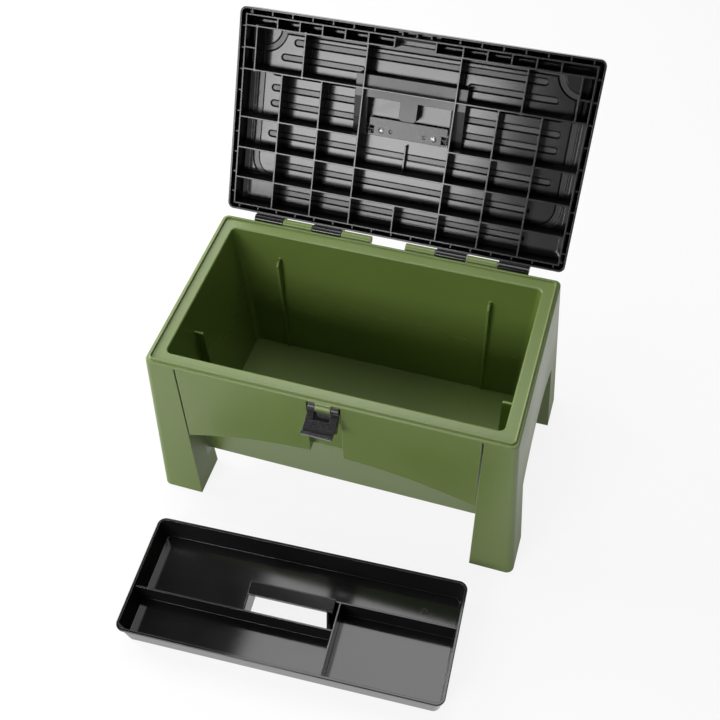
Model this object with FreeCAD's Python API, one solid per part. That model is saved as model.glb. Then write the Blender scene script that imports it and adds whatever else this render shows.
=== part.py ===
import FreeCAD, Part
import math
import os

V = FreeCAD.Vector

# Storage stool with a hinged lid, shown open, and its lift-out tray standing in front.
# Millimetres. X runs along the stool, Y to the back, Z up; the origin is on the floor
# under the middle of the tub.

# Lid, in its closed position
lid_length = 462.0
lid_depth = 263.0
lid_height = 32.0
lid_corner_r = 8.0
lid_draft = 1.6
lid_edge_r = 4.0
lid_bevel_width = 12.0
lid_bevel_height = 5.0
lid_skin = 2.5
skirt_t = 2.2
rib_t = 1.8
frame_inset = 7.8
open_angle = 119.7

# Rib grid under the lid: rows from the hinge-side edge, columns from the middle
front_row_v = 241.0
short_row_v = 214.0
handle_row_v = 187.0
middle_row_v = 125.7
third_row_v = 85.3
back_row_v = 45.0
notch_column = 26.3
front_column_first = 60.0
front_column_step = 30.0
front_column_count = 5
second_column = 141.7
outer_column = 207.0
inner_column = 59.6
near_column = 114.5
far_column = 168.5
centre_rib_v = 119.0
centre_rib_height = 8.0
web_step = 27.0
notch_web_step = 18.3
pad_r = 1.9

# Tub
tub_height = 265.5
wall = 3.0
leg_flare = 19.0
foot_corner_r = 10.0
leg_width = 58.0
leg_depth = 57.0
lip_inset = 3.8
lip_t = 2.2
lip_height = 3.0
lip_clearance = 1.5
rim_edge_r = 1.5
ledge_width = 20.5
basin_draft = 12.8
basin_corner_r = 7.0
basin_bottom = 44.0
opening_edge_r = 2.0
front_arch_end = 133.0
front_arch_crown = 166.0
side_arch_end = 132.0
side_arch_crown = 157.0
slit_width = 2.0

# Tray ribs in the basin
tray_rib_t = 3.0
tray_rib_top = 225.5
tray_rib_depth = 12.5
tray_rib_foot = 2.5
side_rib_y = -43.0
back_rib_x = 146.5

# Hinge
hinge_behind = 6.5
hinge_below = 2.5
lid_gap = 0.5
knuckle_r = 5.8
knuckle_first = 23.3
knuckle_length = 41.25
knuckle_gap = 0.8
pin_r = 2.0
running_clearance = 0.05
seat_clearance = 0.01
pin_recess = 1.5
stop_gap = 0.3

# Latch, its lug and its recess
recess_half = 21.5
recess_depth = 13.0
lug_half = 9.7
lug_r = 6.0
latch_drop = 10.0
latch_inset = 1.0
latch_half = 19.0
latch_reach = 36.0
latch_window = 16.5
latch_plate_t = 3.2
latch_side_gap = 0.5
latch_face_gap = 1.2
latch_swing = 113.0
hook_t = 3.5
hook_depth = 8.4
tab_angle = 38.0
tab_length = 31.0
tab_t = 2.4
cheek_t = 2.2
keeper_clearance = 0.8
notch_half = 25.0
notch_depth = 5.2
keeper_t = 4.0

# Carry handle
handle_half = 69.3
handle_bar = 12.0
handle_t = 9.0
handle_pivot_v = 134.0
handle_pivot_depth = 5.35
handle_grip_v = 200.2
handle_clearance = 0.6
trough_depth = 19.8
trunnion_r = 2.6
trunnion_reach = 12.3
finger_v = 177.8
finger_tab_half = 9.2
finger_tab_v = 154.3

# Handle retainer and its screws
retainer_half = 52.0
retainer_low_v = 126.5
retainer_high_v = 149.5
retainer_t = 2.0
screw_x = 35.0
screw_r = 1.6
screw_head_r = 4.0
screw_head_h = 2.2
screw_grip = 5.0
boss_r = 3.6
peg_x = 22.5
peg_r = 2.2
peg_seat = 0.5
window_width = 8.0
window_height = 10.0

# Ridges on the lid
ridge_width = 11.5
ridge_height = 1.2
ridge_wall = 0.9
groove_depth = 1.6
groove_slope = 1.8
ridge_half = 193.0
ridge_first_v = 63.4
ridge_pitch = 20.15
ridge_count = 9
back_ridge_v = 26.5
back_ridge_half = 172.0
border_width = 12.0
border_half = 206.5
border_low_v = 43.0
border_high_v = 238.0
border_r = 27.5
scallop_v = 240.0
scallop_r = 27.5
ridge_margin = 10.0

# Tray
tray_length = 419.0
tray_depth = 162.0
tray_height = 39.5
tray_corner_r = 10.0
tray_draft = 4.0
tray_wall = 2.0
tray_floor = 2.5
tray_lip_out = 1.5
tray_lip_h = 3.0
divider_top = 34.0
left_divider_y = -18.0
right_divider_y = 20.0
cross_divider_x = 57.0
grip_left = -60.0
grip_right = 51.0
grip_front_y = 3.0
grip_foot_x = 50.0
grip_top_x = 40.0
grip_t = 2.6
grip_turn_down = 6.0
grip_tilt = 8.0
gate_mark_x = 160.0
gate_mark_y = 46.0
gate_mark_r = 4.5
gate_mark_h = 0.8
tray_x = -3.3
tray_y = -289.0
tray_turn = 3.2

# Positions that follow from the sizes above
lid_half_x = lid_length / 2
lid_half_y = lid_depth / 2
rim_z = tub_height + lid_gap
lid_top = rim_z + lid_height
skin_under = lid_top - lid_skin
hinge_y = lid_half_y + hinge_behind
hinge_z = rim_z - hinge_below
foot_half_x = lid_half_x + leg_flare
foot_half_y = lid_half_y + leg_flare
leg_inner_x = foot_half_x - leg_width
leg_inner_y = foot_half_y - leg_depth
basin_floor = basin_bottom + wall
open_half_x = lid_half_x - ledge_width
open_half_y = lid_half_y - ledge_width
latch_y = -lid_half_y + latch_inset
latch_z = tub_height - latch_drop


def box(x0, x1, y0, y1, z0, z1):
    return Part.makeBox(x1 - x0, y1 - y0, z1 - z0, V(x0, y0, z0))


def rounded_rectangle(half_x, half_y, radius, z):
    """Level closed wire of four lines and four quarter arcs about the Z axis."""
    edges = []
    inner_x = half_x - radius
    inner_y = half_y - radius
    bend = radius * math.sqrt(0.5)
    corners = [(1, 1), (-1, 1), (-1, -1), (1, -1)]
    for i, (sx, sy) in enumerate(corners):
        along_x = V(sx * inner_x, sy * half_y, z)
        along_y = V(sx * half_x, sy * inner_y, z)
        middle = V(sx * (inner_x + bend), sy * (inner_y + bend), z)
        start, end = (along_y, along_x) if i % 2 == 0 else (along_x, along_y)
        edges.append(Part.Arc(start, middle, end).toShape())
        next_x, next_y = corners[(i + 1) % 4]
        if i % 2 == 0:
            after = V(next_x * inner_x, next_y * half_y, z)
        else:
            after = V(next_x * half_x, next_y * inner_y, z)
        edges.append(Part.makeLine(end, after))
    return Part.Wire(edges)


def taper(low, low_r, z0, high, high_r, z1):
    """Solid between two rounded rectangles; low and high are (half x, half y)."""
    bottom = rounded_rectangle(low[0], low[1], low_r, z0)
    top = rounded_rectangle(high[0], high[1], high_r, z1)
    return Part.makeLoft([bottom, top], True, True)


def prism_x(outline, x0, x1):
    """Solid along X on a closed outline of (y, z) points."""
    points = [V(x0, y, z) for y, z in outline]
    return Part.Face(Part.makePolygon(points + points[:1])).extrude(V(x1 - x0, 0, 0))


def rod_x(radius, x0, x1, y, z):
    return Part.makeCylinder(radius, x1 - x0, V(x0, y, z), V(1, 0, 0))


def post(low_r, high_r, x, y, z0, z1):
    """Upright round post, a cone where its two radii differ."""
    if low_r == high_r:
        return Part.makeCylinder(low_r, z1 - z0, V(x, y, z0))
    return Part.makeCone(low_r, high_r, z1 - z0, V(x, y, z0))


def bar(x0, x1, y, low_width, high_width, z0, z1):
    """Bar along X with round ends; its sides lean where the two widths differ."""
    low_r = low_width / 2
    high_r = high_width / 2
    solid = prism_x([(y - low_r, z0), (y + low_r, z0), (y + high_r, z1), (y - high_r, z1)],
                    x0 + low_r, x1 - low_r)
    ends = [post(low_r, high_r, x, y, z0, z1) for x in (x0 + low_r, x1 - low_r)]
    return solid.fuse(ends).removeSplitter()


def arch_face(half_width, end_z, crown_z):
    """Space under an arch, as a face in the XZ plane, from below the floor up."""
    left = V(-half_width, 0, end_z)
    right = V(half_width, 0, end_z)
    low_left = V(-half_width, 0, -5)
    low_right = V(half_width, 0, -5)
    crown = Part.Arc(left, V(0, 0, crown_z), right).toShape()
    return Part.Face(Part.Wire([
        Part.makeLine(low_left, left), crown, Part.makeLine(right, low_right),
        Part.makeLine(low_right, low_left)]))


def save(name, shape):
    shape.exportStep("parts/" + name + ".step")


def joined(base, pieces):
    return base.fuse(pieces).removeSplitter()


# Tub

def shell_half(z, inset=0.0):
    """Half sizes of the flared outside at height z, moved in by inset."""
    out = leg_flare * (1 - z / tub_height) - inset
    return lid_half_x + out, lid_half_y + out


def shell_radius(z, inset=0.0):
    share = 1 - z / tub_height
    return lid_corner_r + (foot_corner_r - lid_corner_r) * share - inset


def basin_half(z, outset=0.0):
    """Half sizes of the basin's inside at height z, moved out by outset."""
    drop = basin_draft * (tub_height - z) / (tub_height - basin_floor)
    return open_half_x - drop + outset, open_half_y - drop + outset


def front_y(z, inset=0.0):
    return -shell_half(z, inset)[1]


def make_tub_body():
    below = -5.0
    outside = taper(shell_half(0), shell_radius(0), 0,
                    shell_half(tub_height), shell_radius(tub_height), tub_height)
    top_edges = [e for e in outside.Edges if e.BoundBox.ZMin > tub_height - 0.01]
    outside = outside.makeFillet(rim_edge_r, top_edges)
    under_plate = tub_height - wall
    inside = taper(shell_half(below, wall), shell_radius(below, wall), below,
                   shell_half(under_plate, wall), shell_radius(under_plate, wall), under_plate)
    basin = taper(basin_half(basin_bottom, wall), basin_corner_r + wall, basin_bottom,
                  basin_half(tub_height, wall), basin_corner_r + wall, tub_height)
    leg_walls = []
    for sx in (-1, 1):
        for sy in (-1, 1):
            xs = sorted((sx * leg_inner_x, sx * (leg_inner_x + wall)))
            ys = sorted((sy * leg_inner_y, sy * (foot_half_y + wall)))
            leg_walls.append(box(xs[0], xs[1], ys[0], ys[1], 0, tub_height - wall / 2))
            xs = sorted((sx * leg_inner_x, sx * (foot_half_x + wall)))
            ys = sorted((sy * leg_inner_y, sy * (leg_inner_y + wall)))
            leg_walls.append(box(xs[0], xs[1], ys[0], ys[1], 0, tub_height - wall / 2))
    leg_walls = [piece.common(outside) for piece in leg_walls]
    body = outside.cut(inside)
    body = joined(body, [basin] + leg_walls)
    low = front_arch_end
    recess_wall = prism_x([
        (front_y(low, wall / 2), low), (front_y(under_plate, wall / 2), under_plate),
        (front_y(under_plate, recess_depth + wall), under_plate),
        (front_y(low, recess_depth + wall), low)], -recess_half - wall, recess_half + wall)
    body = joined(body, [recess_wall])
    over = 10.0
    cavity = taper(basin_half(basin_floor), basin_corner_r, basin_floor,
                   basin_half(tub_height + over), basin_corner_r, tub_height + over)
    body = body.cut(cavity)
    rim = [e for e in body.Edges if on_opening(e)]
    body = body.makeFillet(opening_edge_r, rim)
    skirt_back = foot_half_y - leg_flare - recess_depth - 2 * wall
    reach = foot_half_y + 10
    front_arch = arch_face(leg_inner_x, front_arch_end, front_arch_crown)
    side_arch = arch_face(leg_inner_y, side_arch_end, side_arch_crown)
    side_arch.rotate(V(0, 0, 0), V(0, 0, 1), 90)
    side_back = lid_half_x - 3 * wall
    cutters = []
    for side in (-1, 1):
        piece = front_arch.extrude(V(0, side * (reach - skirt_back), 0))
        piece.translate(V(0, side * skirt_back, 0))
        cutters.append(piece)
        piece = side_arch.extrude(V(side * (foot_half_x + 10 - side_back), 0, 0))
        piece.translate(V(side * side_back, 0, 0))
        cutters.append(piece)
        xs = sorted((side * leg_inner_x, side * (leg_inner_x - slit_width)))
        for end in (-1, 1):
            ys = sorted((end * skirt_back, end * reach))
            cutters.append(box(xs[0], xs[1], ys[0], ys[1], front_arch_end - 5, under_plate))
    recess = prism_x([
        (-reach, 0), (-reach, under_plate), (front_y(under_plate, recess_depth), under_plate),
        (front_y(0, recess_depth), 0)], -recess_half, recess_half)
    return body.cut(cutters + [recess])


def on_opening(edge):
    """True for an edge of the rim's opening, at the ledge's height."""
    bb = edge.BoundBox
    level = abs(bb.ZMin - tub_height) < 0.01 and abs(bb.ZMax - tub_height) < 0.01
    return level and abs(bb.Center.x) < lid_half_x - lip_inset and abs(bb.Center.y) < open_half_y + 0.1


def tray_ribs():
    top_x, top_y = basin_half(tray_rib_top)
    low_x, low_y = basin_half(basin_floor)
    sunk = wall / 2
    round_off = tray_rib_depth * 0.4
    ribs = []
    for side in (-1, 1):
        outline = [
            (low_x + sunk, basin_floor - sunk), (low_x - tray_rib_foot, basin_floor - sunk),
            (top_x - tray_rib_depth, tray_rib_top - round_off),
            (top_x - tray_rib_depth + round_off / 4, tray_rib_top), (top_x + sunk, tray_rib_top)]
        points = [V(side * x, side_rib_y - tray_rib_t / 2, z) for x, z in outline]
        ribs.append(Part.Face(Part.makePolygon(points + points[:1])).extrude(V(0, tray_rib_t, 0)))
        outline = [
            (low_y + sunk, basin_floor - sunk), (low_y - tray_rib_foot, basin_floor - sunk),
            (top_y - tray_rib_depth, tray_rib_top - round_off),
            (top_y - tray_rib_depth + round_off, tray_rib_top), (top_y + sunk, tray_rib_top)]
        middle = side * back_rib_x
        ribs.append(prism_x(outline, middle - tray_rib_t / 2, middle + tray_rib_t / 2))
    return ribs


def rim_lip():
    outer = (lid_half_x - lip_inset, lid_half_y - lip_inset)
    inner = (outer[0] - lip_t, outer[1] - lip_t)
    outer_r = lid_corner_r - 1
    low = tub_height - wall / 2
    top = tub_height + lip_height
    ring = taper(outer, outer_r, low, outer, outer_r, top)
    ring = ring.makeFillet(lip_t * 0.4, [e for e in ring.Edges if e.BoundBox.ZMin > top - 0.01])
    return ring.cut(taper(inner, outer_r - lip_t, low - 1, inner, outer_r - lip_t, top + 1))


def knuckle_span(index, side):
    """X range of hinge knuckle number index, counted outward from the middle."""
    start = knuckle_first + index * knuckle_length + knuckle_gap / 2
    end = start + knuckle_length - knuckle_gap
    return sorted((side * start, side * end))


def tub_knuckles():
    anchor = lid_half_y - wall / 2
    shoulder = tub_height - 1.0
    foot = hinge_z - 2.2 * knuckle_r
    pieces = []
    for side in (-1, 1):
        for index in (0, 2):
            x0, x1 = knuckle_span(index, side)
            web = prism_x([
                (anchor, foot), (anchor, shoulder), (hinge_y, shoulder),
                (hinge_y + knuckle_r * 0.87, hinge_z - knuckle_r * 0.5)], x0, x1)
            pieces.append(web.fuse(rod_x(knuckle_r, x0, x1, hinge_y, hinge_z)))
    return pieces


def latch_lug():
    nose = rod_x(lug_r, -lug_half, lug_half, latch_y, latch_z)
    top = tub_height - wall / 2
    web = box(-lug_half, lug_half, latch_y - lug_r / 2, latch_y + lug_r, latch_z, top)
    return nose.fuse(web)


def make_tub():
    tub = joined(make_tub_body(), tray_ribs() + [rim_lip()] + tub_knuckles() + [latch_lug()])
    holes = [rod_x(pin_r + seat_clearance, -recess_half, recess_half, latch_y, latch_z)]
    for side in (-1, 1):
        for index in (0, 2):
            x0, x1 = knuckle_span(index, side)
            holes.append(rod_x(pin_r + seat_clearance, x0 - 1, x1 + 1, hinge_y, hinge_z))
    return tub.cut(holes)


# Lid, built closed; v is the distance from its hinge-side edge

def lid_y(v):
    return lid_half_y - v


def opened(shape):
    shape.rotate(V(0, hinge_y, hinge_z), V(1, 0, 0), -open_angle)
    return shape


frame_half_x = lid_half_x - frame_inset - rib_t / 2
frame_half_y = lid_half_y - frame_inset - rib_t / 2
front_row = lid_y(front_row_v)
short_row = lid_y(short_row_v)
handle_row = lid_y(handle_row_v)
middle_row = lid_y(middle_row_v)
third_row = lid_y(third_row_v)
back_row = lid_y(back_row_v)
arm_inner = handle_half - handle_bar
trough_floor = lid_top - trough_depth
pivot_y = lid_y(handle_pivot_v)
pivot_z = lid_top - handle_pivot_depth
arm_floor = pivot_z - handle_t / 2 - handle_clearance
hook_z = latch_z + latch_reach - hook_t
keeper_top = hook_z - keeper_clearance
rib_root = skin_under + groove_depth + (lid_skin - groove_depth) / 2


def lid_block(inset, drop, low):
    """Lid as a solid block with bevelled top edges, moved in by inset and down by drop."""
    crest = lid_top - lid_bevel_height - drop
    radius = lid_corner_r - inset

    def half(z, more=0.0):
        out = lid_draft * (z - rim_z) / lid_height + inset + more
        return lid_half_x - out, lid_half_y - out

    lower = taper(half(low), radius, low, half(crest), radius, crest)
    upper = taper(half(crest), radius, crest, half(crest, lid_bevel_width), radius, lid_top - drop)
    return joined(lower, [upper])


def column(x, y0, y1, low=None):
    base = rim_z if low is None else low
    return box(x - rib_t / 2, x + rib_t / 2, min(y0, y1), max(y0, y1), base, rib_root)


def row(y, x0, x1):
    return box(x0, x1, y - rib_t / 2, y + rib_t / 2, rim_z, rib_root)


def lid_ribs():
    top = rib_root
    half = rib_t / 2
    outer = box(-frame_half_x - half, frame_half_x + half, -frame_half_y - half, frame_half_y + half,
                rim_z, top)
    inner = box(-frame_half_x + half, frame_half_x - half, -frame_half_y + half, frame_half_y - half,
                rim_z - 1, top + 1)
    ribs = [outer.cut(inner)]
    for y in (handle_row, third_row, back_row):
        ribs.append(row(y, -frame_half_x, frame_half_x))
    ribs.append(column(0.0, frame_half_y, back_row))
    ribs.append(column(0.0, third_row, lid_y(centre_rib_v), skin_under - centre_rib_height))
    front_columns = [notch_column]
    front_columns += [front_column_first + i * front_column_step for i in range(front_column_count)]
    for side in (-1, 1):
        for y, x in ((front_row, notch_column), (middle_row, inner_column), (short_row, outer_column)):
            xs = sorted((side * x, side * frame_half_x))
            ribs.append(row(y, xs[0], xs[1]))
        for x in front_columns:
            ribs.append(column(side * x, -frame_half_y, front_row))
        for x in (second_column, outer_column, inner_column):
            ribs.append(column(side * x, front_row, handle_row))
        for x in (near_column, far_column, inner_column):
            ribs.append(column(side * x, handle_row, frame_half_y))
        crossings = [(x, y) for x in (second_column, outer_column) for y in (front_row, handle_row)]
        crossings += [(x, y) for x in (near_column, far_column) for y in (middle_row, third_row)]
        for x, y in crossings:
            ribs.append(Part.makeCylinder(pad_r, rib_root - rim_z, V(side * x, y, rim_z)))
    return ribs


def channel_webs():
    """Low webs between the skirt and the frame rib, above the tub's lip."""
    low = tub_height + lip_height + lip_clearance
    half = rib_t / 2
    count_x = int(frame_half_x / web_step)
    count_y = int(frame_half_y / web_step)
    along_x = [i * web_step for i in range(-count_x, count_x + 1)]
    at_front = [x for x in along_x if abs(x) > notch_half + web_step / 2]
    at_front += [i * notch_web_step for i in (-1, 0, 1)]
    webs = []
    for side, places in ((-1, at_front), (1, along_x)):
        ys = sorted((side * frame_half_y, side * (lid_half_y - skirt_t)))
        for x in places:
            webs.append(box(x - half, x + half, ys[0], ys[1], low, rib_root))
    for i in range(-count_y, count_y + 1):
        y = i * web_step
        for side in (-1, 1):
            xs = sorted((side * frame_half_x, side * (lid_half_x - skirt_t)))
            webs.append(box(xs[0], xs[1], y - half, y + half, low, rib_root))
    return webs


def ridge_end(v):
    """Half-length of the ridge at v, kept a margin away from the border and its scallops."""
    keep = scallop_r + border_width / 2 + ridge_margin - ridge_wall
    off = scallop_v - v
    if abs(off) < keep:
        return min(ridge_half, border_half - math.sqrt(keep ** 2 - off ** 2))
    return ridge_half


def ridge_lines():
    """Ridges as (x start, x end, y); those at the handle run up to its trough."""
    lines = [(-back_ridge_half, back_ridge_half, lid_y(back_ridge_v))]
    beside = handle_half + handle_clearance + skirt_t - ridge_width / 2
    tail = handle_pivot_v - handle_t - ridge_width
    head = handle_grip_v + ridge_width
    for i in range(ridge_count):
        v = ridge_first_v + i * ridge_pitch
        end = back_ridge_half if i == 0 else ridge_end(v)
        start = beside if tail < v < head else 0.0
        if start > 0:
            lines.append((-end, -start, lid_y(v)))
            lines.append((start, end, lid_y(v)))
        else:
            lines.append((-end, end, lid_y(v)))
    return lines


def panel(low_grow, high_grow, z0, z1):
    """Ridged panel scalloped at its front corners, larger all round by low_grow at z0, high_grow at z1."""
    half_y = (border_high_v - border_low_v) / 2
    solid = taper((border_half + low_grow, half_y + low_grow), border_r + low_grow, z0,
                  (border_half + high_grow, half_y + high_grow), border_r + high_grow, z1)
    solid.translate(V(0, lid_y((border_high_v + border_low_v) / 2), 0))
    corners = [post(scallop_r - low_grow, scallop_r - high_grow, side * border_half, lid_y(scallop_v), z0, z1)
               for side in (-1, 1)]
    return solid.cut(corners)


def border(low_width, high_width, z0, z1):
    """Band around the ridged panel; its sides lean where the two widths differ."""
    low_grow = low_width / 2
    high_grow = high_width / 2
    return panel(low_grow, high_grow, z0, z1).cut(panel(-low_grow, -high_grow, z0, z1))


def trough_boxes(grow, z1):
    """Handle trough, its arms rising to the pivots, and the finger space, larger all round by grow."""
    gap = handle_clearance + grow
    low = trough_floor - grow
    grip_far = lid_y(handle_grip_v) - gap
    finger_y = lid_y(finger_v) + grow
    tail = pivot_y + handle_t / 2 + gap
    pieces = [box(-handle_half - gap, handle_half + gap, grip_far, finger_y, low, z1)]
    for side in (-1, 1):
        xs = sorted((side * (arm_inner - gap), side * (handle_half + gap)))
        pieces.append(prism_x([
            (grip_far, low), (finger_y, low), (tail, arm_floor - grow), (tail, z1), (grip_far, z1)],
            xs[0], xs[1]))
    tab_half = finger_tab_half + grow
    tab = box(-tab_half, tab_half, finger_y - 1, lid_y(finger_tab_v) + grow, low, z1)
    corners = [e for e in tab.Edges if e.BoundBox.ZLength > 1 and e.BoundBox.Center.y > finger_y]
    pieces.append(tab.makeFillet(finger_tab_half / 2, corners))
    return pieces


def notch_void():
    """Slot for the latch hook, open at the front and the top."""
    return box(-notch_half, notch_half, -lid_half_y - 5, -lid_half_y + notch_depth, keeper_top, lid_top + 5)


def keeper():
    """Block between skirt and frame rib that the latch hook holds on to."""
    half = notch_half + skirt_t
    return box(-half, half, -lid_half_y + skirt_t / 2, -frame_half_y, keeper_top - keeper_t, lid_top)


def grooves():
    """Hollows with sloped sides on the lid's underside, along the ridges and their border."""
    low = skin_under - groove_depth / 2
    high = skin_under + groove_depth
    mouth_in = ridge_wall - groove_slope / 2
    floor_in = ridge_wall + groove_slope
    mouth = ridge_width - 2 * mouth_in
    floor = ridge_width - 2 * floor_in
    pieces = [bar(x0 + mouth_in, x1 - mouth_in, y, mouth, floor, low, high) for x0, x1, y in ridge_lines()]
    pieces.append(border(border_width - 2 * mouth_in, border_width - 2 * floor_in, low, high))
    return pieces


def lid_knuckles():
    anchor = lid_half_y - skirt_t / 2
    flat = hinge_y - shell_half(hinge_z - 0.7 * knuckle_r)[1] - stop_gap
    pieces = []
    for side in (-1, 1):
        for index in (1, 3):
            x0, x1 = knuckle_span(index, side)
            web = prism_x([
                (anchor, rim_z + 0.5), (anchor, rim_z + 3 * knuckle_r),
                (hinge_y + knuckle_r * 0.87, hinge_z + knuckle_r * 0.5), (hinge_y, hinge_z)], x0, x1)
            heel = opened_back([
                (0, 0), (-flat, 0), (-flat, -0.7 * knuckle_r), (-0.5 * knuckle_r, -0.86 * knuckle_r)],
                x0, x1)
            pieces.append(web.fuse([rod_x(knuckle_r, x0, x1, hinge_y, hinge_z), heel]))
    return pieces


def opened_back(outline, x0, x1):
    """Prism given where it lies with the lid open, turned to the closed position."""
    piece = prism_x([(hinge_y + y, hinge_z + z) for y, z in outline], x0, x1)
    piece.rotate(V(0, hinge_y, hinge_z), V(1, 0, 0), open_angle)
    return piece


def screw_boss(x):
    low = retainer_top()
    return Part.makeCylinder(boss_r, rib_root - low, V(x, pivot_y, low))


def retainer_top():
    return pivot_z - trunnion_r - running_clearance


def make_lid():
    outside = lid_block(0.0, 0.0, rim_z)
    crest = lid_top - lid_bevel_height
    crest_edges = [e for e in outside.Edges
                   if abs(e.BoundBox.ZMin - crest) < 0.01 and e.BoundBox.ZLength < 0.01]
    outside = outside.makeFillet(lid_edge_r, crest_edges)
    ridge_foot = lid_top - lid_skin
    ridge_crest = lid_top + ridge_height
    ridges = [bar(x0, x1, y, ridge_width, ridge_width, ridge_foot, ridge_crest)
              for x0, x1, y in ridge_lines()]
    ridges.append(border(border_width, border_width, ridge_foot, ridge_crest))
    lid = joined(outside, ridges).cut(lid_block(skirt_t, lid_skin, rim_z - 5))
    lid = lid.cut(grooves())
    ribs = lid_ribs() + channel_webs() + [keeper()]
    ribs = joined(ribs[0], ribs[1:]).common(lid_block(skirt_t / 2, (lid_skin - groove_depth) / 2, rim_z))
    trough = trough_boxes(skirt_t, rib_root)
    bosses = [screw_boss(side * screw_x) for side in (-1, 1)]
    peg_low = retainer_top() - peg_seat
    thin_r = peg_r - handle_clearance / 2
    pegs = [post(thin_r, thin_r, side * peg_x, pivot_y, peg_low, rib_root) for side in (-1, 1)]
    lid = joined(lid, [ribs] + trough + bosses + pegs + lid_knuckles())
    cutters = trough_boxes(0.0, lid_top + 10) + [notch_void()]
    for side in (-1, 1):
        for index in (1, 3):
            x0, x1 = knuckle_span(index, side)
            cutters.append(rod_x(pin_r + running_clearance, x0 - 1, x1 + 1, hinge_y, hinge_z))
        xs = sorted((side * (arm_inner - trunnion_reach), side * arm_inner))
        cutters.append(rod_x(trunnion_r + running_clearance, xs[0], xs[1], pivot_y, pivot_z))
        pilot = skin_under - retainer_top()
        cutters.append(Part.makeCylinder(screw_r + seat_clearance, pilot,
                                         V(side * screw_x, pivot_y, retainer_top())))
    return lid.cut(cutters)


# Carry handle, folded flat in its trough

def make_handle():
    low = pivot_z - handle_t / 2
    high = low + handle_t
    far = lid_y(handle_grip_v)
    soft = handle_t * 0.3
    outline = box(-handle_half, handle_half, far, pivot_y, low, high)
    hole = box(-arm_inner, arm_inner, far + handle_bar, pivot_y + 1, low - 1, high + 1)
    grip = outline.cut(hole)
    corners = [e for e in grip.Edges if e.BoundBox.ZLength > 1 and e.BoundBox.Center.y < pivot_y - 1]
    grip = grip.makeFillet(handle_bar * 0.3, corners)
    long_edges = [e for e in grip.Edges
                  if e.BoundBox.ZLength < 0.01 and e.BoundBox.YMax < pivot_y + 0.1
                  and not (e.BoundBox.YLength < 0.01 and e.BoundBox.YMin > pivot_y - 0.1)]
    grip = grip.makeFillet(soft, long_edges)
    pieces = []
    for side in (-1, 1):
        xs = sorted((side * arm_inner, side * handle_half))
        pieces.append(rod_x(handle_t / 2, xs[0], xs[1], pivot_y, pivot_z))
        xs = sorted((side * (arm_inner - trunnion_reach), side * (arm_inner + handle_bar / 2)))
        pieces.append(rod_x(trunnion_r, xs[0], xs[1], pivot_y, pivot_z))
    return joined(grip, pieces)


# Retainer plate under the trunnions, and its screws

def make_retainer():
    high = retainer_top()
    low = high - retainer_t
    plate = box(-retainer_half, retainer_half, lid_y(retainer_high_v), lid_y(retainer_low_v), low, high)
    upright = [e for e in plate.Edges if e.BoundBox.ZLength > 1]
    plate = plate.makeFillet(retainer_t * 0.5, upright)
    cutters = []
    for side in (-1, 1):
        middle = side * (retainer_half - window_width / 2)
        cutters.append(box(middle - window_width / 2 + 1, middle + window_width / 2 - 1,
                           pivot_y - window_height / 2, pivot_y + window_height / 2, low - 1, high + 1))
        cutters.append(Part.makeCylinder(screw_r + seat_clearance, retainer_t + 2,
                                         V(side * screw_x, pivot_y, low - 1)))
        cutters.append(Part.makeCylinder(peg_r, retainer_t + 2, V(side * peg_x, pivot_y, low - 1)))
    return plate.cut(cutters)


def make_screws():
    under = retainer_top() - retainer_t
    screws = []
    for side in (-1, 1):
        x = side * screw_x
        shank = Part.makeCylinder(screw_r, retainer_t + screw_grip, V(x, pivot_y, under))
        dome_r = (screw_head_r ** 2 + screw_head_h ** 2) / (2 * screw_head_h)
        dome = Part.makeSphere(dome_r, V(x, pivot_y, under - screw_head_h + dome_r))
        keep = Part.makeCylinder(screw_head_r + 1, screw_head_h, V(x, pivot_y, under - screw_head_h))
        slot = screw_head_r * 0.7
        cross = [box(x - slot / 2, x + slot / 2, pivot_y - 0.4, pivot_y + 0.4,
                     under - screw_head_h - 1, under - screw_head_h * 0.45),
                 box(x - 0.4, x + 0.4, pivot_y - slot / 2, pivot_y + slot / 2,
                     under - screw_head_h - 1, under - screw_head_h * 0.45)]
        screws.append(joined(dome.common(keep), [shank]).cut(cross))
    return Part.makeCompound(screws)


# Latch, built closed: upright against the lid's front, s up and t towards the lid

def latch_piece(outline, x0, x1):
    return prism_x([(latch_y + t, latch_z + s) for s, t in outline], x0, x1)


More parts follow.
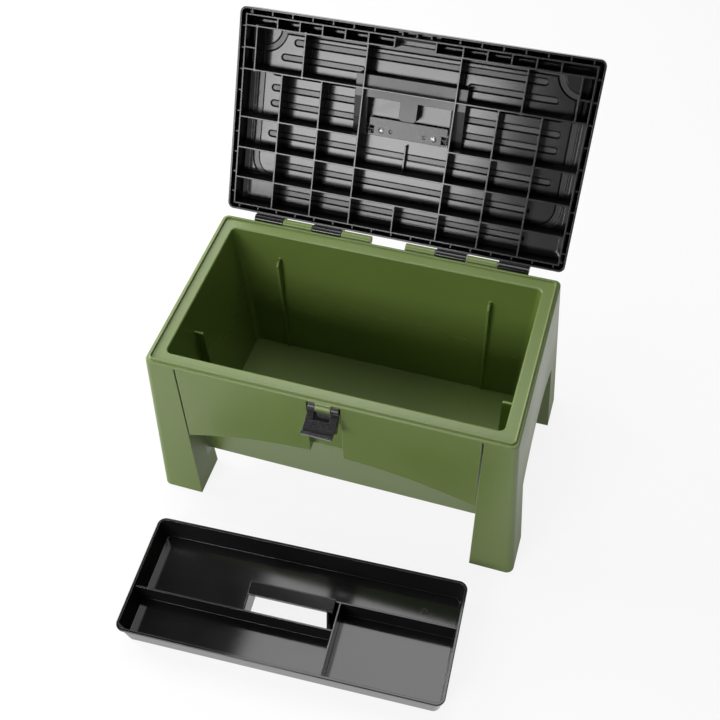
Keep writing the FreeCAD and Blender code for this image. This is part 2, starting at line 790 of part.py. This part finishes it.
def make_latch():
    inner = -latch_inset - latch_face_gap
    outer = inner - latch_plate_t
    arm_in = lug_half + latch_side_gap
    eye_r = knuckle_r - 0.8
    turned = math.radians(latch_swing)
    lift = tub_height - wall - latch_z - stop_gap
    heel = []
    for y in (2.5, -1.0):
        t = y * math.cos(turned) + lift * math.sin(turned)
        s = -y * math.sin(turned) + lift * math.cos(turned)
        heel.append((s, t))
    splay = math.radians(tab_angle)
    along = (math.cos(splay), -math.sin(splay))
    across = (-math.sin(splay), -math.cos(splay))
    tab_base = lug_r + latch_side_gap
    tab_out = tab_t * 1.25

    def tab_point(run, out):
        return run * along[0] + out * across[0], run * along[1] + out * across[1]

    tab_end = tab_point(tab_length, tab_out)
    tab_root = tab_point(tab_base, tab_out)
    pieces = []
    for side in (-1, 1):
        xs = sorted((side * arm_in, side * latch_half))
        pieces.append(rod_x(eye_r, xs[0], xs[1], latch_y, latch_z))
        pieces.append(latch_piece([(0, outer), (latch_reach - hook_t, outer), (latch_reach - hook_t, inner),
                                   (eye_r, inner), (0, eye_r)], xs[0], xs[1]))
        pieces.append(latch_piece([(-eye_r * 0.9, 0), heel[0], heel[1], (0, eye_r), (0, 0)], xs[0], xs[1]))
        xs = sorted((side * (latch_half - cheek_t), side * latch_half))
        pieces.append(latch_piece([(eye_r, outer + 1), (tab_length * 0.9, outer + 1), tab_end, tab_root],
                                  xs[0], xs[1]))
    pieces.append(latch_piece([(latch_window, outer), (latch_reach, outer), (latch_reach, inner),
                               (latch_window, inner)], -latch_half, latch_half))
    pieces.append(latch_piece([(latch_reach - hook_t, outer), (latch_reach, outer + 1),
                               (latch_reach, outer + hook_depth - 1), (latch_reach - 1, outer + hook_depth),
                               (latch_reach - hook_t, outer + hook_depth)],
                              -latch_half, latch_half))
    pieces.append(latch_piece([tab_root, tab_end, tab_point(tab_length, tab_out - tab_t),
                               tab_point(tab_base, tab_out - tab_t)], -latch_half, latch_half))
    latch = joined(pieces[0], pieces[1:])
    latch = latch.cut(rod_x(pin_r + running_clearance, -latch_half - 1, latch_half + 1, latch_y, latch_z))
    latch.rotate(V(0, latch_y, latch_z), V(1, 0, 0), latch_swing)
    return latch


# Lift-out tray, in its own frame, then stood in front of the stool

def tray_half(z, inset=0.0):
    in_by = tray_draft * (1 - z / tray_height) + tray_lip_out + inset
    return tray_length / 2 - in_by, tray_depth / 2 - in_by


def make_tray():
    over = 5.0
    outside = taper(tray_half(0), tray_corner_r, 0, tray_half(tray_height), tray_corner_r, tray_height)
    low_edges = [e for e in outside.Edges if e.BoundBox.ZMax < 0.01]
    outside = outside.makeFillet(tray_wall, low_edges)
    lip = (tray_length / 2, tray_depth / 2)
    lip_band = taper(lip, tray_corner_r + tray_lip_out, tray_height - tray_lip_h,
                     lip, tray_corner_r + tray_lip_out, tray_height)
    lip_top = [e for e in lip_band.Edges if e.BoundBox.ZMin > tray_height - 0.01]
    outside = joined(outside, [lip_band.makeFillet(tray_lip_h / 3, lip_top)])
    hollow = taper(tray_half(tray_floor, tray_wall), tray_corner_r - tray_wall, tray_floor,
                   tray_half(tray_height + over, tray_wall), tray_corner_r - tray_wall, tray_height + over)
    tray = outside.cut(hollow)
    tray = joined(tray, [piece.common(outside) for piece in tray_dividers()] + grip_pieces())
    well_low = left_divider_y + tray_wall / 2
    well_high = right_divider_y - tray_wall / 2
    well = [V(grip_left + tray_wall / 2, well_low, -1), V(grip_foot_x - tray_wall / 2, well_low, -1),
            V(grip_top_x - tray_wall / 2, well_high, -1), V(grip_left + tray_wall / 2, well_high, -1)]
    hole = Part.Face(Part.makePolygon(well + well[:1])).extrude(V(0, 0, tray_floor + 2))
    tray = tray.cut(hole)
    mark = Part.makeCylinder(gate_mark_r, gate_mark_h, V(gate_mark_x, gate_mark_y, tray_floor))
    ring = mark.cut(Part.makeCylinder(gate_mark_r - 1, gate_mark_h, V(gate_mark_x, gate_mark_y, tray_floor)))
    tray = joined(tray, [ring])
    tray.rotate(V(0, 0, 0), V(0, 0, 1), tray_turn)
    tray.translate(V(tray_x, tray_y, 0))
    return tray


def tray_dividers():
    half_wall = tray_wall / 2
    low = tray_floor / 2
    left = box(-tray_length / 2, cross_divider_x, left_divider_y - half_wall, left_divider_y + half_wall,
               low, divider_top)
    right = box(grip_left, tray_length / 2, right_divider_y - half_wall, right_divider_y + half_wall,
                low, divider_top)
    cross = box(cross_divider_x - half_wall, cross_divider_x + half_wall, -tray_depth / 2, right_divider_y,
                low, divider_top)
    return [left, right, cross]


def grip_pieces():
    """Raised back wall with a tilted flange to lift by, and two side walls sloping to the front divider."""
    half_wall = tray_wall / 2
    low = tray_floor / 2
    flange_back = right_divider_y + half_wall
    flange = box(grip_left - half_wall, grip_right, grip_front_y, flange_back,
                 tray_height - grip_t, tray_height)
    crest = [e for e in flange.Edges if e.BoundBox.XLength > 1 and e.BoundBox.ZMin > tray_height - 0.1]
    turned = box(grip_left - half_wall, grip_right, grip_front_y, grip_front_y + tray_wall,
                 tray_height - grip_turn_down, tray_height - grip_t / 2)
    flange = joined(flange.makeFillet(grip_t * 0.4, crest), [turned])
    flange.rotate(V(0, flange_back, tray_height), V(1, 0, 0), grip_tilt)
    grip_fall = (flange_back - grip_front_y) * math.tan(math.radians(grip_tilt))
    back = box(grip_left - half_wall, grip_right, right_divider_y - half_wall, right_divider_y + half_wall,
               low, tray_height - grip_t / 2)
    slope = prism_x([
        (left_divider_y, low), (right_divider_y, low), (right_divider_y, tray_height - grip_t / 2),
        (grip_front_y, tray_height - grip_t / 2 - grip_fall), (left_divider_y, divider_top - tray_wall)],
        -tray_length, tray_length)
    sides = []
    for foot_x, top_x in ((grip_left, grip_left), (grip_foot_x, grip_top_x)):
        plan = [V(foot_x - half_wall, left_divider_y, 0), V(foot_x + half_wall, left_divider_y, 0),
                V(top_x + half_wall, right_divider_y, 0), V(top_x - half_wall, right_divider_y, 0)]
        upright = Part.Face(Part.makePolygon(plan + plan[:1])).extrude(V(0, 0, tray_height))
        sides.append(upright.common(slope))
    return [flange, back] + sides


os.makedirs("parts", exist_ok=True)
save("tub", make_tub())
save("lid", opened(make_lid()))
save("carry_handle", opened(make_handle()))
save("handle_retainer", opened(make_retainer()))
save("retainer_screws", opened(make_screws()))
save("latch", make_latch())
save("latch_pin", rod_x(pin_r, -latch_half + pin_recess, latch_half - pin_recess, latch_y, latch_z))
for name, side in (("hinge_pin_left", -1), ("hinge_pin_right", 1)):
    start = knuckle_first + pin_recess
    end = knuckle_first + 4 * knuckle_length - pin_recess
    ends = sorted((side * start, side * end))
    save(name, rod_x(pin_r, ends[0], ends[1], hinge_y, hinge_z))
save("tray", make_tray())
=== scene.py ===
import math

import bpy
from mathutils import Matrix, Vector

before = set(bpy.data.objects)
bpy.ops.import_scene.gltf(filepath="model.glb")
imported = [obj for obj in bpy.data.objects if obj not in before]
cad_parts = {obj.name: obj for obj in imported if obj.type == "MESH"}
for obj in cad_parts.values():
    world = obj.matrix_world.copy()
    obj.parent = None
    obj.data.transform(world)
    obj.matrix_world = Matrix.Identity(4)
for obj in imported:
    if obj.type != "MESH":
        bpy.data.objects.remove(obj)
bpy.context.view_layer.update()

# Camera, in metres and degrees
camera_place = Vector((0.2761, -0.7465, 1.2151))
camera_azimuth = 20.25
camera_elevation = 52.32
camera_roll = -3.547
camera_lens = 49.86
camera_reach = 50.0
sensor_width = 36.0

# Soft boxes: place, aim, width, height and radiance
overhead_box = (Vector((-0.10, 0.60, 2.0)), Vector((-0.10, 0.60, 0.0)), 1.0, 1.2, 4.0)
back_box = (Vector((-0.90, 1.35, 1.9)), Vector((-0.1, 0.0, 0.27)), 1.0, 1.0, 4.2)
front_box = (Vector((-0.58, -1.65, 1.02)), Vector((0.0, 0.1, 0.35)), 0.85, 0.60, 12.0)
left_box = (Vector((-1.70, 0.20, 1.0)), Vector((0.0, 0.0, 0.25)), 1.0, 0.8, 13.0)

# Room: its light, brighter at the horizon, and the height that the white backdrop goes up to
room_light = 0.05
horizon_light = 0.3
horizon_low = 0.05
horizon_high = 0.15
backdrop_low = 0.20
backdrop_high = 0.40

# Floor
floor_size = 8.0
floor_drop = 0.0005
floor_colour = (0.86, 0.86, 0.86)
floor_white = 0.88

# The open lid's hinge, and the turn that closes it
hinge_place = Vector((0.0, 0.138, 0.2635))
lid_turn = 119.7

# Zones of other gloss: three on the lid's underside, as they lie when it is closed, and the basin
trough_zone = ((-0.0735, 0.0735), (-0.0745, -0.0175), (0.268, 0.2950))
plate_zone = ((-0.0520, 0.0520), (-0.0180, 0.0050), (0.268, 0.2950))
groove_zone = ((-0.2200, 0.2200), (-0.1200, 0.1200), (0.2963, 0.2976))
basin_zone = ((-0.2120, 0.2120), (-0.1125, 0.1125), (0.0400, 0.2640))
zone_soft = 0.0006

# Colours
white = (1.0, 1.0, 1.0)
green_base = (0.133, 0.190, 0.042)
green_pale = (0.18, 0.245, 0.070)
# Paler edge colours: painted highlight along rounded edges
green_highlight = (0.33, 0.40, 0.17)
# Painted shade: the colour that narrow slots are darkened to
slot_painted_shade = (0.008, 0.010, 0.005)
black_base = (0.009, 0.009, 0.0095)
black_pale = (0.03, 0.03, 0.031)
# Painted highlight along the edges of the black pieces
black_highlight = (0.075, 0.075, 0.077)
matt_pale = (0.05, 0.05, 0.053)
steel_base = (0.80, 0.80, 0.81)
steel_dull = (0.55, 0.54, 0.53)

# Refraction of the two plastics
tub_ior = 1.54
lid_ior = 1.47

# Rubbing marks: their scale, their stretch along X, and what they add to tint and roughness
rub_scale = 60.0
rub_stretch = (0.25, 1.0, 1.0)
rub_low = 0.62
rub_high = 0.80
rub_tint = 0.25
rub_rise = 0.25

# Painted highlight along edges, a paler colour standing in for the light that rounded edges catch: how
# far a rounded normal turns where the painted highlight starts and where it is full, as cosines
highlight_start = 0.99
highlight_full = 0.80

# Painted shade in narrow slots, where the slot colour stands in for the shade that falls there: their
# width, and how open to the air the shaded and unshaded places are
slot_width = 0.004
slot_shaded = 0.22
slot_unshaded = 0.42

# Scuffing near the floor: how high it reaches and the roughness it adds at the feet
scuff_height = 0.20
scuff_rise = 0.25

# Strength of the moulded grain, and the grain and stains of the steel
moulded_bump = 0.35
steel_bump = 0.2
steel_grain = 1500.0
steel_grain_depth = 0.00005
stain_scale = 420.0
stain_rise = 0.15

# Samples of the nodes that look round a point
node_samples = 6


def rgba(colour):
    return (colour[0], colour[1], colour[2], 1.0)


def node(tree, kind, **inputs):
    made = tree.nodes.new(kind)
    for name, value in inputs.items():
        made.inputs[name.replace("_", " ")].default_value = value
    return made


def emptied(owner):
    # The node tree of a material or of the world, with nothing in it
    owner.use_nodes = True
    owner.node_tree.nodes.clear()
    return owner.node_tree


def split_axes(tree, coords):
    split = tree.nodes.new("ShaderNodeSeparateXYZ")
    tree.links.new(coords, split.inputs["Vector"])
    return split.outputs


def noise(tree, coords, scale, detail, stretch=(1.0, 1.0, 1.0)):
    mapping = node(tree, "ShaderNodeMapping", Scale=stretch)
    tree.links.new(coords, mapping.inputs["Vector"])
    texture = node(tree, "ShaderNodeTexNoise", Scale=scale, Detail=detail)
    tree.links.new(mapping.outputs["Vector"], texture.inputs["Vector"])
    return texture.outputs["Fac"]


def ranged(tree, value, from_low, from_high, to_low, to_high):
    made = node(tree, "ShaderNodeMapRange", From_Min=from_low, From_Max=from_high,
                To_Min=to_low, To_Max=to_high)
    tree.links.new(value, made.inputs["Value"])
    return made.outputs["Result"]


def mixed(tree, factor, first, second):
    made = tree.nodes.new("ShaderNodeMix")
    made.data_type = "RGBA"
    tree.links.new(factor, made.inputs["Factor"])
    for socket, value in (("A_Color", first), ("B_Color", second)):
        target = next(i for i in made.inputs if i.identifier == socket)
        if isinstance(value, tuple):
            target.default_value = value
        else:
            tree.links.new(value, target)
    return next(o for o in made.outputs if o.identifier == "Result_Color")


def maths(tree, operation, first, second):
    made = tree.nodes.new("ShaderNodeMath")
    made.operation = operation
    for index, value in enumerate((first, second)):
        if isinstance(value, float):
            made.inputs[index].default_value = value
        else:
            tree.links.new(value, made.inputs[index])
    return made.outputs["Value"]


def blended(tree, share, first, second):
    # Two shaders in one, the second by its share
    blend = tree.nodes.new("ShaderNodeMixShader")
    tree.links.new(share, blend.inputs["Fac"])
    tree.links.new(first, blend.inputs[1])
    tree.links.new(second, blend.inputs[2])
    return blend.outputs["Shader"]


def bumped(tree, height, strength, depth):
    bump = node(tree, "ShaderNodeBump", Strength=strength, Distance=depth)
    tree.links.new(height, bump.inputs["Height"])
    return bump


def highlight_mask(tree, rounded):
    # How far the rounded normal leaves the flat one: 0 on faces, towards 1 along edges, where the
    # painted highlight goes
    geometry = tree.nodes.new("ShaderNodeNewGeometry")
    dot = tree.nodes.new("ShaderNodeVectorMath")
    dot.operation = "DOT_PRODUCT"
    tree.links.new(rounded, dot.inputs[0])
    tree.links.new(geometry.outputs["Normal"], dot.inputs[1])
    return ranged(tree, dot.outputs["Value"], highlight_start, highlight_full, 0.0, 1.0)


def painted_shade_mask(tree):
    # Where the painted shade goes: 1 deep in narrow slots, 0 on open faces and in plain corners
    hidden = node(tree, "ShaderNodeAmbientOcclusion", Distance=slot_width)
    hidden.samples = node_samples
    hidden.only_local = True
    return ranged(tree, hidden.outputs["AO"], slot_shaded, slot_unshaded, 1.0, 0.0)


def inside(tree, value, low, high):
    # 1 between low and high, fading to 0 just outside
    rise = ranged(tree, value, low - zone_soft, low, 0.0, 1.0)
    fall = ranged(tree, value, high, high + zone_soft, 1.0, 0.0)
    return maths(tree, "MULTIPLY", rise, fall)


def closed_lid(tree, coords):
    # Where a point of the open lid lies when the lid is closed
    turn = math.radians(lid_turn)
    shift = hinge_place - Matrix.Rotation(turn, 3, "X") @ hinge_place
    mapping = node(tree, "ShaderNodeMapping", Location=shift, Rotation=(turn, 0.0, 0.0))
    tree.links.new(coords, mapping.inputs["Vector"])
    return mapping.outputs["Vector"]


def in_zone(tree, coords, zone):
    # 1 in a box, 0 outside it
    axes = split_axes(tree, coords)
    masks = [inside(tree, axes[axis], *limits) for axis, limits in zip("XYZ", zone)]
    return maths(tree, "MULTIPLY", maths(tree, "MULTIPLY", masks[0], masks[1]), masks[2])


def surface(name):
    # A new material with its node tree, its shader and the coordinates of the piece
    material = bpy.data.materials.new(name)
    tree = emptied(material)
    output = tree.nodes.new("ShaderNodeOutputMaterial")
    shader = tree.nodes.new("ShaderNodeBsdfPrincipled")
    tree.links.new(shader.outputs["BSDF"], output.inputs["Surface"])
    coords = tree.nodes.new("ShaderNodeTexCoord").outputs["Object"]
    return material, tree, shader, coords


def moulded(name, base, pale, highlight_colour, ior, roughness, spread, grain, grain_depth, edge, highlight_share,
            mottle=0.22, mottle_scale=7.0, zones=(), on_lid=False, painted_shade=None, scuffed=False):
    # Moulded plastic: fine grain, slow changes of tint and gloss, faint rubbing marks, edges painted
    # paler as a painted highlight, zones that the mould left smoother or rougher than the rest, painted
    # shade darkening narrow slots, and scuffing
    material, tree, shader, coords = surface(name)
    shader.inputs["IOR"].default_value = ior

    bevel = node(tree, "ShaderNodeBevel", Radius=edge)
    bevel.samples = node_samples
    edges = highlight_mask(tree, bevel.outputs["Normal"])

    cloud = noise(tree, coords, mottle_scale, 4.0)
    rubs = noise(tree, coords, rub_scale, 5.0, rub_stretch)
    tint = ranged(tree, cloud, 0.35, 0.65, 0.0, mottle)
    rubbed = ranged(tree, rubs, rub_low, rub_high, 0.0, rub_tint)
    faces = mixed(tree, maths(tree, "MAXIMUM", tint, rubbed), rgba(base), rgba(pale))
    # Painted highlight: edges made paler towards the highlight colour
    painted_highlight = maths(tree, "MULTIPLY", edges, highlight_share)
    colour = mixed(tree, painted_highlight, faces, rgba(highlight_colour))
    # Painted shade: narrow slots darkened towards the slot colour
    if painted_shade is not None:
        colour = mixed(tree, painted_shade_mask(tree), colour, rgba(painted_shade))
    tree.links.new(colour, shader.inputs["Base Color"])

    gloss = ranged(tree, cloud, 0.3, 0.7, roughness - spread, roughness + spread)
    gloss = maths(tree, "ADD", gloss, maths(tree, "MULTIPLY", rubbed, rub_rise))
    place = closed_lid(tree, coords) if on_lid else coords
    for zone, change in zones:
        gloss = maths(tree, "ADD", gloss, maths(tree, "MULTIPLY", in_zone(tree, place, zone), change))
    if scuffed:
        height = split_axes(tree, coords)["Z"]
        gloss = maths(tree, "ADD", gloss, ranged(tree, height, 0.0, scuff_height, scuff_rise, 0.0))
    tree.links.new(gloss, shader.inputs["Roughness"])

    bump = bumped(tree, noise(tree, coords, grain, 2.0), moulded_bump, grain_depth)
    tree.links.new(bevel.outputs["Normal"], bump.inputs["Normal"])
    tree.links.new(bump.outputs["Normal"], shader.inputs["Normal"])
    return material


def metal(name, bright, dull, roughness):
    # Bright metal with dull stains and a fine grain
    material, tree, shader, coords = surface(name)
    shader.inputs["Metallic"].default_value = 1.0
    stains = noise(tree, coords, stain_scale, 4.0)
    dulled = ranged(tree, stains, 0.45, 0.7, 0.0, 1.0)
    tree.links.new(mixed(tree, dulled, rgba(bright), rgba(dull)), shader.inputs["Base Color"])
    gloss = ranged(tree, stains, 0.3, 0.7, roughness, roughness + stain_rise)
    tree.links.new(gloss, shader.inputs["Roughness"])
    bump = bumped(tree, noise(tree, coords, steel_grain, 2.0), steel_bump, steel_grain_depth)
    tree.links.new(bump.outputs["Normal"], shader.inputs["Normal"])
    return material


def dress(name, material):
    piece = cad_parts[name]
    piece.data.materials.clear()
    piece.data.materials.append(material)


# Materials of the pieces
green = moulded(
    "green_satin", green_base, green_pale, green_highlight, tub_ior, roughness=0.37, spread=0.04,
    grain=1500.0, grain_depth=0.00006, edge=0.0016, highlight_share=0.7,
    zones=((basin_zone, -0.15),), painted_shade=slot_painted_shade, scuffed=True)
lid_black = moulded(
    "lid_black", black_base, black_pale, black_highlight, lid_ior, roughness=0.17, spread=0.04,
    grain=900.0, grain_depth=0.00004, edge=0.0007, highlight_share=0.35,
    zones=((trough_zone, 0.12), (plate_zone, 0.12), (groove_zone, 0.09)), on_lid=True)
tray_black = moulded(
    "tray_black", black_base, black_pale, black_highlight, tub_ior, roughness=0.10, spread=0.03,
    grain=900.0, grain_depth=0.00003, edge=0.0010, highlight_share=0.9)
matt_black = moulded(
    "matt_black", black_base, matt_pale, black_highlight, lid_ior, roughness=0.30, spread=0.03,
    grain=1600.0, grain_depth=0.00012, edge=0.0009, highlight_share=0.6, mottle=0.8, mottle_scale=700.0)
screw_steel = metal("screw_steel", steel_base, steel_dull, roughness=0.40)
pin_steel = metal("pin_steel", steel_base, steel_dull, roughness=0.35)

dress("tub", green)
dress("lid", lid_black)
dress("tray", tray_black)
for black_piece in ("carry_handle", "handle_retainer", "latch"):
    dress(black_piece, matt_black)
dress("retainer_screws", screw_steel)
for pin in ("hinge_pin_left", "hinge_pin_right", "latch_pin"):
    dress(pin, pin_steel)


def eye_share(tree, share):
    # The share for the camera and for what mirrors a thing or lets it through, 0 for the light it sheds
    path = tree.nodes.new("ShaderNodeLightPath").outputs
    passed = maths(tree, "MAXIMUM", path["Is Glossy Ray"], path["Is Transmission Ray"])
    seen = maths(tree, "MAXIMUM", path["Is Camera Ray"], passed)
    return maths(tree, "MULTIPLY", seen, share)


# Floor: pale and matt, shown nearly white to the camera, with the shadow still on it
floor_mesh = bpy.data.meshes.new("floor")
half = floor_size / 2
corners = [(-half, -half, 0.0), (half, -half, 0.0), (half, half, 0.0), (-half, half, 0.0)]
floor_mesh.from_pydata(corners, [], [(0, 1, 2, 3)])
floor = bpy.data.objects.new("floor", floor_mesh)
floor.location.z = -floor_drop
bpy.context.scene.collection.objects.link(floor)

paper = bpy.data.materials.new("floor_paper")
tree = emptied(paper)
output = tree.nodes.new("ShaderNodeOutputMaterial")
matt = node(tree, "ShaderNodeBsdfDiffuse", Color=rgba(floor_colour))
glow = node(tree, "ShaderNodeEmission", Color=rgba(white), Strength=1.0)
shown = blended(tree, eye_share(tree, floor_white), matt.outputs["BSDF"], glow.outputs["Emission"])
tree.links.new(shown, output.inputs["Surface"])
floor_mesh.materials.append(paper)

# Room: dim light, and a white backdrop round the floor for the camera and for what mirrors it
world = bpy.data.worlds.new("room")
bpy.context.scene.world = world
tree = emptied(world)
output = tree.nodes.new("ShaderNodeOutputWorld")
height = split_axes(tree, tree.nodes.new("ShaderNodeTexCoord").outputs["Generated"])["Z"]
dim = node(tree, "ShaderNodeBackground", Color=rgba(white))
dim_light = ranged(tree, height, horizon_low, horizon_high, horizon_light, room_light)
tree.links.new(dim_light, dim.inputs["Strength"])
backdrop = node(tree, "ShaderNodeBackground", Color=rgba(white))
backdrop_light = ranged(tree, height, backdrop_low, backdrop_high, 1.0, room_light)
tree.links.new(backdrop_light, backdrop.inputs["Strength"])
shown = blended(tree, eye_share(tree, 1.0), dim.outputs["Background"], backdrop.outputs["Background"])
tree.links.new(shown, output.inputs["Surface"])


def soft_box(name, place, aim, width, height, radiance):
    lamp = bpy.data.lights.new(name, "AREA")
    lamp.shape = "RECTANGLE"
    lamp.size = width
    lamp.size_y = height
    lamp.energy = radiance * math.pi * width * height
    made = bpy.data.objects.new(name, lamp)
    made.location = place
    made.rotation_euler = (aim - place).to_track_quat("-Z", "Y").to_euler()
    bpy.context.scene.collection.objects.link(made)


soft_box("overhead_box", *overhead_box)
soft_box("back_box", *back_box)
soft_box("front_box", *front_box)
soft_box("left_box", *left_box)

# Camera
camera_data = bpy.data.cameras.new("camera")
camera_data.lens = camera_lens
camera_data.sensor_width = sensor_width
camera_data.clip_end = camera_reach
camera = bpy.data.objects.new("camera", camera_data)
turn = Matrix.Rotation(math.radians(camera_azimuth), 4, "Z")
tilt = Matrix.Rotation(math.radians(90.0 - camera_elevation), 4, "X")
roll = Matrix.Rotation(math.radians(camera_roll), 4, "Z")
camera.matrix_world = Matrix.Translation(camera_place) @ turn @ tilt @ roll
bpy.context.scene.collection.objects.link(camera)
bpy.context.scene.camera = camera

bpy.context.scene.view_settings.view_transform = "Standard"
